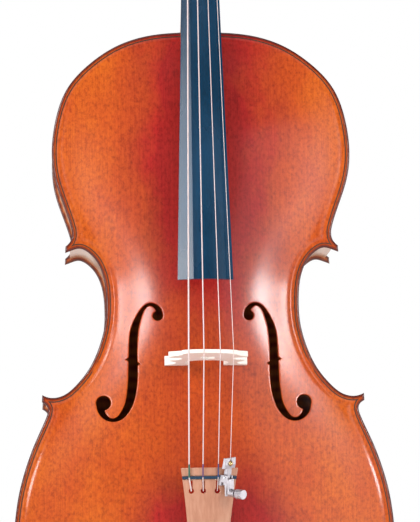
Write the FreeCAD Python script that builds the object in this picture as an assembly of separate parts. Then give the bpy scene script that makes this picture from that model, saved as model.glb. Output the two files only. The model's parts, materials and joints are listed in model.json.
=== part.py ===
import FreeCAD, Part
import math
import os

from FreeCAD import Vector

# A full-size cello, in millimetres. +Z is up along the body, the front faces -Y and the treble side is +X.
# The origin is the endpin's point, on the instrument's centre plane and midway through the ribs.
# Heights along the body are written as "down", the distance below the top edge of the plates.

# Driving dimensions
BODY_LENGTH = 745.0
STOP = 391.5  # top edge of the body to the middle of the bridge's feet
NECK_LENGTH = 280.0  # top edge of the body to the nut
ENDPIN_OUT = 270.0  # floor to the bottom edge of the body
RIB_DEPTH = 118.0
EDGE = 5.0  # thickness of both plates at their edge
TOP_ARCH = 26.0  # crown of the top above the ribs
BACK_ARCH = 25.0
OVERHANG = 4.0  # plates beyond the ribs
RIB_THICKNESS = 1.5

# Derived places
BOTTOM = ENDPIN_OUT
TOP = BOTTOM + BODY_LENGTH
FRONT_RIB = -RIB_DEPTH / 2
BACK_RIB = RIB_DEPTH / 2
FRONT_EDGE = FRONT_RIB - EDGE
BACK_EDGE = BACK_RIB + EDGE
RIB_OUTSIDE = OVERHANG
RIB_INSIDE = OVERHANG + RIB_THICKNESS

# Right half of the plates' outline, as (half width, down)
UPPER_BOUT = [
    (0, 0), (60, 3.8), (99, 16.5), (131, 38), (157, 67), (171.5, 107), (175.5, 146),
    (172, 175), (163, 203), (154.5, 228), (152.5, 243), (160, 254.5),
]
CENTRE_BOUT = [
    (160.5, 262), (152.5, 259), (143.5, 257), (133, 262), (123.5, 272.5), (117, 287), (113, 317),
    (114.5, 346), (121.5, 373), (132.5, 397), (149, 418), (163, 429), (175, 432), (188, 428.5),
]
LOWER_BOUT = [
    (188.5, 437), (181.5, 445), (184, 456), (196.5, 484), (207, 512), (215, 541), (220, 573),
    (221.5, 602), (214.5, 646), (189, 693), (140, 727), (75, 741.5), (0, 745),
]

# Arching
ARCH_START = 11.0  # flat edge at both ends of the long arch
ARCH_MIDDLE = BODY_LENGTH / 2
LONG_POWER = 2.8
CROSS_POWER = 1.25

# Neck, fingerboard and strings
NECK_ROOT = 22.0  # glue face of the neck above the top's edge
NECK_SLOPE = 0.166  # how far the glue face leans forward for each unit down
BOARD_LENGTH = 583.0
BOARD_NUT_WIDTH = 31.0
BOARD_END_WIDTH = 64.0
BOARD_EDGE = 6.0
BOARD_RADIUS = 62.0
HEEL_TOP = 75.0  # where the heel's curve leaves the neck, above the top edge
BUTTON_RADIUS = 14.0
MORTISE = 13.0

STRING_NAMES = ["c", "g", "d", "a"]
STRING_RADIUS = {"c": 0.85, "g": 0.65, "d": 0.48, "a": 0.38}
NUT_X = {"c": -11.5, "g": -3.2, "d": 5.2, "a": 13.5}
BRIDGE_X = {"c": -21.5, "g": -4.3, "d": 14.5, "a": 30.0}
BRIDGE_CLEARANCE = {"c": 9.6, "g": 8.8, "d": 7.8, "a": 6.8}
NUT_CLEARANCE = 1.0
NUT_THICKNESS = 7.0

# Bridge and tailpiece
BRIDGE_CENTRE = 2.0
BRIDGE_FOOT_HALF = 48.0
BRIDGE_GAP_HALF = 20.5
TAIL_CENTRE = 2.0
TAIL_TOP = 517.5  # down to the tailpiece's upper end
TAIL_FRET = 529.0
HOLES_BELOW = 15.0  # from the tailpiece's fret to its string holes
TAIL_END = 735.0
SADDLE_RISE = 9.0


def smoothstep(t):
    t = min(1.0, max(0.0, t))
    return t * t * (3 - 2 * t)


def at(x, y, down):
    """A point given by its distance below the top edge of the plates."""
    return Vector(x, y, TOP - down)


def mirrored(shape):
    return shape.mirror(Vector(0, 0, 0), Vector(1, 0, 0))


def curve_through(points):
    curve = Part.BSplineCurve()
    curve.interpolate(points)
    return curve


def prism(face, y_from, y_to):
    """A face in the plane y = 0, pulled out from y_from to y_to."""
    moved = face.copy()
    moved.translate(Vector(0, y_from, 0))
    return moved.extrude(Vector(0, y_to - y_from, 0))


def polygon_face(points):
    return Part.Face(Part.makePolygon(points + [points[0]]))


def box(x, y, z):
    """A box from three (low, high) pairs."""
    size = [high - low for low, high in (x, y, z)]
    return Part.makeBox(*size, Vector(x[0], y[0], z[0]))


def cylinder(radius, start, end):
    way = end - start
    return Part.makeCylinder(radius, way.Length, start, way)


def cone(radius_start, radius_end, start, end):
    way = end - start
    return Part.makeCone(radius_start, radius_end, way.Length, start, way)


# ---------------------------------------------------------------- outline


def bout(right_half):
    """One smooth curve through a bout's right half and its mirror image."""
    left = [at(-x, 0, down) for x, down in reversed(right_half) if x > 0]
    right = [at(x, 0, down) for x, down in right_half]
    return curve_through(left + right)


def outline_curves():
    upper = bout(UPPER_BOUT)
    lower = bout(list(reversed(LOWER_BOUT)))
    centre = curve_through([at(x, 0, down) for x, down in CENTRE_BOUT])
    lower.reverse()
    return upper, centre, lower


def inset_curve(curve, distance, samples=90):
    """The curve moved sideways towards the inside of the body."""
    first, last = curve.FirstParameter, curve.LastParameter
    points = []
    for i in range(samples + 1):
        u = first + (last - first) * i / samples
        along = curve.tangent(u)[0]
        points.append(curve.value(u) + Vector(along.z, 0, -along.x) * distance)
    return curve_through(points)


def crossing(one, other):
    """The point where two curves of one half cross, as a Vector."""
    found = one.intersectCC(other)
    return Vector(found[0].X, found[0].Y, found[0].Z)


def piece_of(curve, start, end):
    return curve.toShape(curve.parameter(start), curve.parameter(end))


def outline_face(distance):
    """The body's outline moved inwards, as a face in the plane y = 0."""
    upper, centre, lower = outline_curves()
    if distance:
        upper, centre, lower = [inset_curve(c, distance) for c in (upper, centre, lower)]
        # the bouts' ends on the right half, where neighbouring curves cross
        shoulder = crossing(centre, upper)
        hip = crossing(centre, lower)
        left_shoulder = Vector(-shoulder.x, 0, shoulder.z)
        left_hip = Vector(-hip.x, 0, hip.z)
        side = piece_of(centre, shoulder, hip)
        edges = [
            piece_of(upper, left_shoulder, shoulder),
            side,
            piece_of(lower, hip, left_hip),
            mirrored(side),
        ]
    else:
        side = centre.toShape()
        tips = [
            Part.makeLine(at(*tip_a), at(*tip_b))
            for tip_a, tip_b in (
                ((160, 0, 254.5), (160.5, 0, 262)),
                ((188, 0, 428.5), (188.5, 0, 437)),
            )
        ]
        edges = [upper.toShape(), side, lower.toShape(), mirrored(side)]
        edges += tips + [mirrored(tip) for tip in tips]
    return Part.Face(Part.Wire(Part.__sortEdges__(edges)))

# ---------------------------------------------------------------- arching


def waist(down):
    """Half the arching's width, which passes through the bouts but ignores the corners."""
    upper = 163.0 - 58.0 * smoothstep((down - 150) / 165)
    lower = 103.0 * smoothstep((down - 325) / 235)
    return upper + lower


def rise(x, down, narrower=0.0):
    """Arch height at a place, from 0 at the edge to 1 at the crown."""
    near_end = max(0.0, (146 - down) / (146 - ARCH_START - narrower))
    far_end = max(0.0, (down - 598) / (BODY_LENGTH - 598 - ARCH_START - narrower))
    across = abs(x) / (waist(down) - narrower)
    out = (across ** 2.35 + (near_end + far_end) ** 2.35) ** (1 / 2.35)
    along = 1 - 0.2 * ((down - ARCH_MIDDLE) / ARCH_MIDDLE) ** 2
    return along * max(0.0, 1 - out * out) ** CROSS_POWER


def arch_space(level, crown, narrower=0.0):
    """Everything outside an arched surface: level is y at its edge, crown is its height."""
    columns = [-240 + 10.0 * i for i in range(49)]
    rows = [-20 + 10.0 * i for i in range(80)]
    grid = [[at(x, level + crown * rise(x, down, narrower), down) for down in rows] for x in columns]
    surface = Part.BSplineSurface()
    surface.interpolate(grid)
    return surface.toShape().extrude(Vector(0, math.copysign(140, crown), 0))


# ---------------------------------------------------------------- sound box


def f_hole_parts():
    """The bass side's f-hole, as faces in the plane y = 0 whose union is the hole."""
    outer = [
        (-47.9, 338), (-48.6, 331.5), (-53.5, 325.4), (-62, 322.8), (-69, 326), (-75.4, 333.5),
        (-82.1, 345.8), (-85.5, 358), (-86.6, 371.5), (-87.5, 394), (-88.3, 416), (-90, 430.6),
        (-92.2, 440.7), (-96.7, 449.6), (-101.7, 455.7), (-107, 457.2), (-112, 454.5), (-115.5, 447),
    ]
    inner = [
        (-124.8, 440), (-122.5, 451), (-114.6, 459), (-105.6, 461.3), (-96.7, 459), (-88.8, 452),
        (-83.2, 442), (-79.8, 431), (-77.6, 416), (-77, 405), (-77.3, 383), (-76.3, 360),
        (-74.8, 349), (-72, 339), (-67.5, 329.5), (-62, 326.2), (-57.5, 328.5), (-55, 334.4),
    ]
    sides = [curve_through([at(x, 0, down) for x, down in side]).toShape() for side in (outer, inner)]
    closings = [
        Part.makeLine(at(outer[-1][0], 0, outer[-1][1]), at(inner[0][0], 0, inner[0][1])),
        Part.makeLine(at(inner[-1][0], 0, inner[-1][1]), at(outer[0][0], 0, outer[0][1])),
    ]
    body = Part.Face(Part.Wire(Part.__sortEdges__(sides + closings)))
    eyes = []
    for x, down, radius in ((-53, 338, 5.8), (-117, 439, 8.6)):
        eyes.append(Part.Face(Part.Wire(Part.makeCircle(radius, at(x, 0, down), Vector(0, 1, 0)))))
    notches = [
        polygon_face([at(-86, 0, 385.5), at(-86, 0, 391.5), at(-90.8, 0, 388.5)]),
        polygon_face([at(-78.5, 0, 391), at(-78.5, 0, 397), at(-73.8, 0, 394)]),
    ]
    return [body] + eyes + notches


def f_hole_tools():
    tools = []
    for face in f_hole_parts():
        hole = prism(face, FRONT_EDGE - 40, FRONT_RIB + 10)
        tools += [hole, mirrored(hole)]
    return tools


def plate(front):
    """A plate: its outline, arched outside and hollowed inside. Returns it and its hollow."""
    sign = -1 if front else 1
    inner_level = sign * RIB_DEPTH / 2
    edge_level = sign * (RIB_DEPTH / 2 + EDGE)
    crown = (TOP_ARCH if front else BACK_ARCH) - EDGE
    outside = arch_space(edge_level, sign * crown)
    blank = prism(outline_face(0), inner_level, edge_level + sign * (crown + 4))
    if not front:
        disc = cylinder(BUTTON_RADIUS, Vector(0, inner_level, TOP - 1), Vector(0, edge_level, TOP - 1))
        blank = blank.fuse(disc)
    carved = blank.cut(outside)
    under = arch_space(inner_level + sign * 0.25, sign * (crown + 0.1), 8.0)
    room = prism(outline_face(14), inner_level - sign * 3, edge_level + sign * (crown + 4)).cut(under)
    return carved.cut(room), room, outside


def corner(distance, centre_meets_upper):
    upper, centre, lower = [inset_curve(c, distance) for c in outline_curves()]
    return crossing(centre, upper if centre_meets_upper else lower)


def centre_bout_region():
    """A prism round the treble side's centre rib, which ends on the corners' mitres."""
    shoulder, hip = corner(RIB_INSIDE, True), corner(RIB_INSIDE, False)
    shoulder_way = corner(RIB_OUTSIDE, True) - shoulder
    hip_way = corner(RIB_OUTSIDE, False) - hip
    points = [
        at(60, 0, 235), shoulder, shoulder + shoulder_way * 10, at(300, 0, 262),
        at(300, 0, 436), hip + hip_way * 10, hip, at(60, 0, 455),
    ]
    return prism(polygon_face(points), FRONT_RIB - 1, BACK_RIB + 1)


def ring(outer, inner, y_from, y_to):
    """The band between two insets of the outline."""
    return prism(outline_face(outer).cut(outline_face(inner)), y_from, y_to)


def ribs():
    """Six ribs, two for each pair of bouts."""
    whole = ring(RIB_OUTSIDE, RIB_INSIDE, FRONT_RIB, BACK_RIB)
    region = centre_bout_region()
    centre = whole.common(region)
    treble = whole.cut(region).common(box((0, 300), (-100, 100), (BOTTOM - 5, TOP + 5)))
    lower, upper = sorted(sorted(treble.Solids, key=lambda s: s.Volume)[-2:], key=lambda s: s.CenterOfMass.z)
    pieces = {"centre": centre, "upper": upper, "lower": lower}
    result = {}
    for name, shape in pieces.items():
        result["rib_" + name + "_treble"] = shape
        result["rib_" + name + "_bass"] = mirrored(shape)
    return result


def blocks():
    """End blocks and four corner blocks, which fill the corners inside the ribs."""
    inside = prism(outline_face(RIB_INSIDE), FRONT_RIB, BACK_RIB)
    top = inside.common(box((-48, 48), (-100, 100), (TOP - 26, TOP)))
    bottom = inside.common(box((-42, 42), (-100, 100), (BOTTOM, BOTTOM + 30)))
    corners = []
    for is_upper, place in ((True, (136, 0, 247)), (False, (160, 0, 441))):
        around = cylinder(26, at(place[0], FRONT_RIB, place[2]), at(place[0], BACK_RIB, place[2]))
        block = inside.common(around)
        corners += [block, mirrored(block)]
    return top, bottom, Part.makeCompound(corners)


def linings(y_from, y_to, clear_of):
    """Thin strips along the ribs' inner edges, between the blocks."""
    strips = ring(RIB_INSIDE, RIB_INSIDE + 2.2, y_from, y_to)
    return strips.cut(clear_of)


def bass_bar(hollow):
    """The bar glued under the bass foot, deepest below the bridge."""
    y = FRONT_RIB
    profile = [at(0, y - 30, 95), at(0, y - 30, 650), at(0, y + 0.5, 650), at(0, y + 0.5, 95)]
    belly = curve_through([at(0, y - 3, 95), at(0, y + 4, 230), at(0, y + 6, STOP), at(0, y + 3, 520), at(0, y - 3, 650)])
    edges = [
        belly.toShape(),
        Part.makeLine(at(0, y - 3, 650), profile[1]),
        Part.makeLine(profile[1], profile[0]),
        Part.makeLine(profile[0], at(0, y - 3, 95)),
    ]
    bar = Part.Face(Part.Wire(Part.__sortEdges__(edges))).extrude(Vector(11, 0, 0))
    bar.translate(Vector(-31, 0, 0))
    room = hollow.fuse(box((-60, 60), (FRONT_RIB, FRONT_RIB + 10), (BOTTOM + 60, TOP - 60)))
    return bar.common(room)


def sound_post(top, back):
    place = (26.0, STOP + 10)
    post = cylinder(5.5, at(place[0], -90, place[1]), at(place[0], 90, place[1]))
    pieces = post.cut(top).cut(back).Solids
    return min(pieces, key=lambda piece: abs(piece.CenterOfMass.y))


def purfling(front):
    """A strip let into the plate's flat edge, and the groove that it lies in."""
    sign = -1 if front else 1
    edge = sign * (RIB_DEPTH / 2 + EDGE)
    return ring(4.3, 5.6, edge, edge - sign * 2), ring(4.3, 5.6, edge + sign * 1, edge - sign * 2)


# ---------------------------------------------------------------- neck and head


def glue_plane(down):
    """y of the neck's front face, on which the fingerboard lies."""
    return FRONT_EDGE - NECK_ROOT - NECK_SLOPE * down


def board_half_width(down):
    along = (down + NECK_LENGTH) / BOARD_LENGTH
    return (BOARD_NUT_WIDTH + (BOARD_END_WIDTH - BOARD_NUT_WIDTH) * along) / 2


def sagitta(x, radius=BOARD_RADIUS):
    return radius - math.sqrt(radius * radius - x * x)


def board_top(x, down):
    """y of the fingerboard's round front face, carried on past both ends."""
    crown = BOARD_EDGE + sagitta(board_half_width(down))
    return glue_plane(down) - crown + sagitta(x)


def neck_section(down, half_front, half_back, back, squareness):
    """A section across the neck: flat in front, round behind."""
    front = glue_plane(down)
    points = []
    for i in range(17):
        angle = math.pi * i / 16
        side = math.copysign(abs(math.cos(angle)) ** (2 / squareness), math.cos(angle))
        deep = math.sin(angle) ** (2 / squareness)
        half = half_front + (half_back - half_front) * deep ** 2
        points.append(at(half * side, front + (back - front) * deep, down))
    arc = curve_through(points).toShape()
    return Part.Wire([arc, Part.makeLine(points[-1], points[0])])


def neck_shaft():
    """Neck and heel, from the nut to the foot of the mortise."""
    sections = []
    for down, thick in ((-NECK_LENGTH, 20.5), (-HEEL_TOP, 22.5)):
        half = board_half_width(down)
        sections.append(neck_section(down, half, half, glue_plane(down) + thick, 2.0))
    start = glue_plane(-HEEL_TOP) + 22.5
    steps = 14
    for step in range(1, steps + 1):
        turn = math.pi / 2 * step / steps
        down = -HEEL_TOP + (HEEL_TOP - 1) * math.sin(turn)
        back = start + (BACK_RIB - start) * (1 - math.cos(turn)) ** 1.1
        blend = step / steps
        half = board_half_width(down)
        half_back = half + (BUTTON_RADIUS - half) * blend
        sections.append(neck_section(down, half, half_back, back, 2.0 + 2.6 * blend))
    sections.append(neck_section(MORTISE, board_half_width(0), BUTTON_RADIUS, BACK_RIB, 4.6))
    return Part.makeLoft(sections, True, True)


HEAD_LEAN = math.atan(0.30)
HEAD_UP = Vector(0, math.sin(HEAD_LEAN), math.cos(HEAD_LEAN))
HEAD_BACK = Vector(0, math.cos(HEAD_LEAN), -math.sin(HEAD_LEAN))
HEAD_START = Vector(0, glue_plane(-NECK_LENGTH), TOP + NECK_LENGTH)
VOLUTE_UP = 158.0
VOLUTE_BACK = 9.0
PEG_UP = {"c": 30.0, "a": 57.0, "g": 85.0, "d": 112.0}
PEG_BACK = 17.0
GRIP_HOLLOW = 24.0  # radius of the cutter that hollows a peg's cheeks
PEG_SIDE = {"c": -1, "g": -1, "d": 1, "a": 1}
CHEEK_HALF = {0: 16.5, 130: 12.5}  # half width of the pegbox at its two ends
TROUGH_HALF = {0: 10.6, 130: 7.2}


def head(x, up, back):
    """A point on the head: up from the nut and back from the pegbox's front."""
    return HEAD_START + Vector(x, 0, 0) + HEAD_UP * up + HEAD_BACK * back


def between(ends, up):
    return ends[0] + (ends[130] - ends[0]) * up / 130


def volute_radius(turn):
    """Radius of the spiral after some turns from where it leaves the pegbox's back."""
    return 8.0 + 25.0 * (1 - turn / 2.25) ** 1.25


def volute_point(x, turn, inset=0.0):
    angle = 2 * math.pi * turn
    reach = volute_radius(turn) - inset
    return head(x, VOLUTE_UP + reach * math.sin(angle), VOLUTE_BACK + reach * math.cos(angle))


def volute_step(start, half_width, inset):
    """One turn of the scroll as a thick plate, closed by a line from its end to its start."""
    points = [volute_point(0, start + i / 24, inset) for i in range(25)]
    rim = curve_through(points).toShape()
    face = Part.Face(Part.Wire([rim, Part.makeLine(points[-1], points[0])]))
    face.translate(Vector(-half_width, 0, 0))
    return face.extrude(Vector(2 * half_width, 0, 0))


def pegbox():
    """Cheeks and back of the pegbox, hollow in front, narrower towards the scroll."""
    rear = curve_through([head(0, up, back) for up, back in (
        (-6, 20.5), (4, 27), (20, 37.5), (40, 41), (80, 39), (115, 36), (VOLUTE_UP, VOLUTE_BACK + volute_radius(0)),
    )])
    front = [head(0, 0, 0), head(0, 128, 1.5), head(0, 136, 6), head(0, VOLUTE_UP, VOLUTE_BACK)]
    edges = [rear.toShape(), Part.makeLine(head(0, -6, 20.5), head(0, -6, 5)), Part.makeLine(head(0, -6, 5), front[0])]
    edges += [Part.makeLine(a, b) for a, b in zip(front, front[1:])]
    edges.append(Part.makeLine(front[-1], head(0, VOLUTE_UP, VOLUTE_BACK + volute_radius(0))))
    side = Part.Face(Part.Wire(Part.__sortEdges__(edges)))
    side.translate(Vector(-30, 0, 0))
    slab = side.extrude(Vector(60, 0, 0))
    half_low, half_high = between(CHEEK_HALF, -10), between(CHEEK_HALF, 165)
    plan = polygon_face([
        head(-half_low, -10, -30), head(half_low, -10, -30), head(half_high, 165, -30), head(-half_high, 165, -30),
    ])
    wedge = plan.extrude(HEAD_BACK * 90)
    low, high = between(TROUGH_HALF, 4), between(TROUGH_HALF, 128)
    lid = polygon_face([head(-low, 4, -5), head(low, 4, -5), head(high, 128, -5), head(-high, 128, -5)])
    trough = lid.extrude(HEAD_BACK * 45)
    floor = Part.Face(Part.Wire(Part.makePolygon([
        head(-30, 0, 18), head(-30, 20, 30), head(-30, 60, 33), head(-30, 100, 31), head(-30, 128, 22),
        head(-30, 140, -10), head(-30, -5, -10), head(-30, 0, 18),
    ]))).extrude(Vector(60, 0, 0))
    return slab.common(wedge).cut(trough.common(floor))


def neck_and_scroll():
    shape = neck_shaft().fuse(pegbox())
    for start, half_width, inset in ((0, 14.0, 0), (0.45, 18.5, 0.3), (0.85, 23.0, 0.6), (1.25, 27.5, 0.9)):
        shape = shape.fuse(volute_step(start, half_width, inset))
    eye = cylinder(6.6, head(-32, VOLUTE_UP, VOLUTE_BACK), head(32, VOLUTE_UP, VOLUTE_BACK))
    shape = shape.fuse(eye)
    for name in STRING_NAMES:
        shape = shape.cut(peg_shaft(name, 0.04))
    return shape.removeSplitter()


def fingerboard():
    """Round in front, with a flat under the lowest string that widens towards the free end."""
    sections = []
    for down, flat in ((-NECK_LENGTH, 4.5), (BOARD_LENGTH - NECK_LENGTH, 18.0)):
        half = board_half_width(down)
        corners = [
            at(-half, glue_plane(down), down), at(-half, board_top(-half, down), down),
            at(-half + flat, board_top(-half + flat, down), down), at(half, board_top(half, down), down),
            at(half, glue_plane(down), down),
        ]
        middle = (corners[2].x + half) / 2
        arc = Part.Arc(corners[2], at(middle, board_top(middle, down), down), corners[3]).toShape()
        lines = [Part.makeLine(corners[i], corners[j]) for i, j in ((0, 1), (1, 2), (3, 4), (4, 0))]
        sections.append(Part.Wire([lines[0], lines[1], arc, lines[2], lines[3]]))
    board = Part.makeLoft(sections, True, True)
    groove = []
    for down, half, deep in ((40, 14, 3), (BOARD_LENGTH - NECK_LENGTH + 1, 27, 7)):
        y = glue_plane(down)
        ends = [at(-half, y + 1, down), at(0, y - deep, down), at(half, y + 1, down)]
        groove.append(Part.Wire([Part.Arc(*ends).toShape(), Part.makeLine(ends[2], ends[0])]))
    return board.cut(Part.makeLoft(groove, True, True))


def nut():
    half = board_half_width(-NECK_LENGTH)
    down = -NECK_LENGTH
    front = Part.makePolygon([
        at(-half, glue_plane(down), down), at(-half, board_top(-half, down) - 0.4, down),
        at(-half * 0.5, board_top(-half * 0.5, down) - 1.0, down), at(0, board_top(0, down) - 1.0, down),
        at(half * 0.5, board_top(half * 0.5, down) - 1.0, down), at(half, board_top(half, down) - 0.4, down),
        at(half, glue_plane(down), down), at(-half, glue_plane(down), down),
    ])
    block = Part.Face(front).extrude(HEAD_UP * NUT_THICKNESS)
    for name in STRING_NAMES:
        block = block.cut(string_run(name, 0.02))
    return block


# ---------------------------------------------------------------- strings and pegs


def over_nut(name):
    """Centre of a string where it crosses the nut."""
    x = NUT_X[name]
    return at(x, board_top(x, -NECK_LENGTH) - NUT_CLEARANCE - STRING_RADIUS[name] * 0.3, -NECK_LENGTH)


def over_bridge(name):
    x = BRIDGE_X[name]
    return at(x, board_top(x, STOP) - BRIDGE_CLEARANCE[name], STOP - 3.5)


def peg_axis(name, x):
    return head(x, PEG_UP[name], PEG_BACK)


def peg_shaft(name, extra):
    """The tapered shaft, thickest next to its head."""
    side = PEG_SIDE[name]
    half = between(CHEEK_HALF, PEG_UP[name])
    return cone(6.3 + extra, 5.0 + extra, peg_axis(name, side * (half + 4)), peg_axis(name, -side * (half + 1.5)))


def peg(name):
    side = PEG_SIDE[name]
    half = between(CHEEK_HALF, PEG_UP[name]) + 4
    collar = cylinder(8.2, peg_axis(name, side * half), peg_axis(name, side * (half + 4)))
    neck = cone(7.0, 4.6, peg_axis(name, side * (half + 4)), peg_axis(name, side * (half + 14)))
    grip = peg_grip()
    grip.rotate(Vector(0, 0, 0), Vector(1, 0, 0), {"c": 20, "g": -35, "d": 50, "a": -15}[name])
    grip.translate(peg_axis(name, side * (half + 26)))
    return peg_shaft(name, 0).fuse([collar, neck, grip])


def peg_grip():
    """The oval thumb piece: a spheroid with both cheeks hollowed by a wide round cutter."""
    oval = Part.Ellipse(Vector(0, 0, 0), 16.0, 12.5)
    outline = Part.Wire([oval.toShape(0, math.pi), Part.makeLine(Vector(-16, 0, 0), Vector(16, 0, 0))])
    grip = Part.Face(outline).revolve(Vector(0, 0, 0), Vector(1, 0, 0), 360)
    for side in (-1, 1):
        centre = side * (GRIP_HOLLOW + 2.6)
        grip = grip.cut(cylinder(GRIP_HOLLOW, Vector(-30, centre, 0), Vector(30, centre, 0)))
    return grip


def winding_x(name):
    return {"c": -3.6, "g": -3.0, "d": 3.0, "a": 3.6}[name]


def shaft_radius(name, x):
    side = PEG_SIDE[name]
    half = between(CHEEK_HALF, PEG_UP[name])
    along = (half + 4 - side * x) / (2 * half + 5.5)
    return 6.3 + (5.0 - 6.3) * along


def windings(name):
    """The string's turns on its peg, side by side."""
    radius = STRING_RADIUS[name]
    turns = []
    for i in range(3):
        x = winding_x(name) + (i - 1) * (2 * radius + 0.1)
        reach = shaft_radius(name, x) + radius
        turns.append(Part.makeTorus(reach, radius, peg_axis(name, x), Vector(1, 0, 0)))
    return Part.makeCompound(turns)


def peg_end(name):
    """Where a string reaches its peg, just clear of the turns."""
    x = winding_x(name)
    radius = STRING_RADIUS[name]
    reach = shaft_radius(name, x) + 3 * radius + 0.3
    return peg_axis(name, x) - HEAD_BACK * reach


def tail_front(down):
    """y along the middle of the tailpiece's front."""
    return -125.5 + 43.5 * (down - TAIL_TOP) / (TAIL_END - TAIL_TOP)


def tail_middle(down):
    return 3.4 * (1 - (down - TAIL_TOP) / (TAIL_END - TAIL_TOP))


TAIL_STATIONS = [(TAIL_TOP, 33.0, 7.6, 12.5), (577, 25.2, 5.2, 11.0), (650, 19.6, 3.6, 9.5), (TAIL_END, 16.0, 2.6, 8.5)]
TAIL_HOLE = {"c": -17.6, "g": -4.0, "d": 12.0}
TUNER_X = 18.5


def over_fret(name):
    """Centre of a string where it crosses the tailpiece's fret."""
    x = {"c": -20.2, "g": -4.6, "d": 12.9}[name]
    return at(x, tail_front(TAIL_FRET) + sagitta(x - tail_middle(TAIL_FRET), 75) - 1.9, TAIL_FRET)


def string_points(name):
    points = [peg_end(name), over_nut(name) + HEAD_UP * NUT_THICKNESS, over_nut(name), over_bridge(name)]
    if name == "a":
        return points + [tuner(0, BALL_ALONG - 3.5, BALL_OUT)]
    down = TAIL_FRET + HOLES_BELOW
    x = TAIL_HOLE[name]
    return points + [over_fret(name), at(x, tail_front(down) + sagitta(x - tail_middle(down), 75) + 2.0, down)]


def string_run(name, extra=0.0):
    """A taut string: straight runs with mitred bends."""
    points = string_points(name)
    path = Part.Wire(Part.makePolygon(points))
    profile = Part.Wire(Part.makeCircle(STRING_RADIUS[name] + extra, points[0], points[1] - points[0]))
    return path.makePipeShell([profile], True, False, 1)


# ---------------------------------------------------------------- bridge and tailpiece


def bridge_outline():
    """The bridge seen along the strings, as (x, distance in front of the ribs' middle)."""
    def leg(side):
        points = [(20.5, 90), (22.5, 94), (25, 101), (24, 110), (17, 117.5), (0, 121)]
        return [(BRIDGE_CENTRE + side * x, h) for x, h in points]

    def flank(side, arm):
        points = [(48, 88.5), (41, 92.5), (36.5, 98), (36.5, 107), (42, 114.5), (43.5, 119), (38.5, 122.5),
                  (33, 125), (30, 130), (30.5, 136), (35.5, 140), (43, 140.5), (45.5, 144.5), (40, 151.5)]
        return [(BRIDGE_CENTRE + side * x, h) for x, h in points] + [arm]

    crest = [(-29, 165), (-21.5, 172.3), (-4.3, 175.3), (14.5, 173.0), (30, 166.1), (35, 161)]
    return leg(1), leg(-1), flank(1, crest[-1]), flank(-1, crest[0]), crest


def bridge(in_front_of_top):
    right_leg, left_leg, right_flank, left_flank, crest = bridge_outline()
    flat = lambda points: curve_through([Vector(x, -h, 0) for x, h in points]).toShape()
    line = lambda a, b: Part.makeLine(Vector(a[0], -a[1], 0), Vector(b[0], -b[1], 0))
    edges = [flat(points) for points in (right_leg, left_leg, right_flank, left_flank, crest)]
    for side, leg, flank in ((1, right_leg, right_flank), (-1, left_leg, left_flank)):
        inner = (BRIDGE_CENTRE + side * 20.5, 70)
        outer = (BRIDGE_CENTRE + side * 48, 70)
        edges += [line(leg[0], inner), line(inner, outer), line(outer, flank[0])]
    face = Part.Face(Part.Wire(Part.__sortEdges__(edges)))
    heart = [(2, 128.5), (8, 134), (10.5, 141), (8.5, 146), (4.6, 146), (2, 142.5),
             (-0.6, 146), (-4.5, 146), (-6.5, 141), (-4, 134), (2, 128.5)]
    face = face.cut(Part.Face(Part.Wire(flat(heart))))
    face.translate(Vector(0, 0, TOP - STOP - 5.5))
    slab = face.extrude(Vector(0, 0, 11))
    lean = polygon_face([
        Vector(-90, -84, TOP - STOP - 5.5), Vector(-90, -180, TOP - STOP + 1.6),
        Vector(-90, -180, TOP - STOP - 20), Vector(-90, -84, TOP - STOP - 20),
    ]).extrude(Vector(180, 0, 0))
    shape = slab.cut(lean).common(in_front_of_top)
    for name in STRING_NAMES:
        shape = shape.cut(string_run(name, 0.02))
    return shape


def tail_section(down, half, crown, thick):
    x, y = tail_middle(down), tail_front(down)
    ends = [at(x - half, y + crown, down), at(x, y, down), at(x + half, y + crown, down)]
    lower = [at(x + half, y + crown + thick * 0.45, down), at(x, y + thick, down), at(x - half, y + crown + thick * 0.45, down)]
    return Part.Wire([
        Part.Arc(*ends).toShape(), Part.makeLine(ends[2], lower[0]),
        Part.Arc(*lower).toShape(), Part.makeLine(lower[2], ends[0]),
    ])


def tailpiece_blank():
    return Part.makeLoft([tail_section(*station) for station in TAIL_STATIONS], True, False)


def fret_band():
    """The strip across the tailpiece that the strings bear on."""
    blank = tailpiece_blank()
    band = box((-60, 60), (-160, -100), (TOP - TAIL_FRET - 1.6, TOP - TAIL_FRET + 1.6))
    raised = blank.copy()
    raised.translate(Vector(0, -1.7, 0))
    lowered = blank.copy()
    lowered.translate(Vector(0, 2.0, 0))
    return raised.common(band).cut(lowered)


def tailpiece(fret, gut):
    shape = tailpiece_blank().cut(fret)
    for name, x in TAIL_HOLE.items():
        down = TAIL_FRET + HOLES_BELOW
        shape = shape.cut(cylinder(3.0, at(x, -150, down), at(x, -70, down)))
        slot = box((x - 1.3, x + 1.3), (-150, -70), (TOP - down, TOP - TAIL_FRET - 3))
        shape = shape.cut(slot).cut(string_run(name, 0.05))
    hollow = box((-11, 11), (-120, -60), (TOP - TAIL_END - 1, TOP - TAIL_END + 16))
    floor = tailpiece_blank()
    floor.translate(Vector(0, 4.0, 0))
    shape = shape.cut(hollow.common(floor))
    return shape.cut(gut)


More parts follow.
